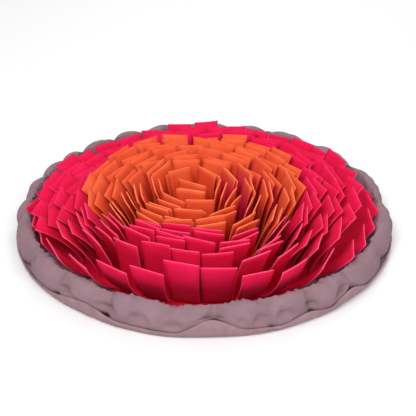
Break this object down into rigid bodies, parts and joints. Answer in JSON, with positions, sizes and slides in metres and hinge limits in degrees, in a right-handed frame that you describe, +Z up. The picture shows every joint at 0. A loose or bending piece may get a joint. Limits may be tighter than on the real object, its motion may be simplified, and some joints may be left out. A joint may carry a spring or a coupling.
{
  "type": "snuffle mat",
  "caption": "Round pet snuffle mat: a flat cloth tray with a puffy gathered rim, filled with rings of upright felt leaves, orange in the middle and pink around it.",
  "frame": {"origin": "middle of the flat underside, on the surface that the mat lies on", "axes": "+Z up, from the underside to the tips of the leaves; -Y towards the picture's camera; +X to the picture's right"},
  "size_m": [0.4022, 0.4031, 0.0702],
  "materials": {
    "base_cloth": "plain woven cloth, pale pinkish mauve",
    "rim_cloth": "soft gathered cloth, greyish mauve",
    "orange_felt": "pressed felt, bright orange",
    "pink_felt": "pressed felt, hot pink"
  },
  "bodies": {
    "root": {"base_cloth": "base_cloth", "gathered_rim": "rim_cloth", "orange_row_1": "orange_felt", "orange_row_2": "orange_felt", "orange_row_3": "orange_felt", "orange_row_4": "orange_felt", "orange_row_5": "orange_felt", "pink_row_1": "pink_felt", "pink_row_2": "pink_felt", "pink_row_3": "pink_felt"}
  },
  "joints": []
}
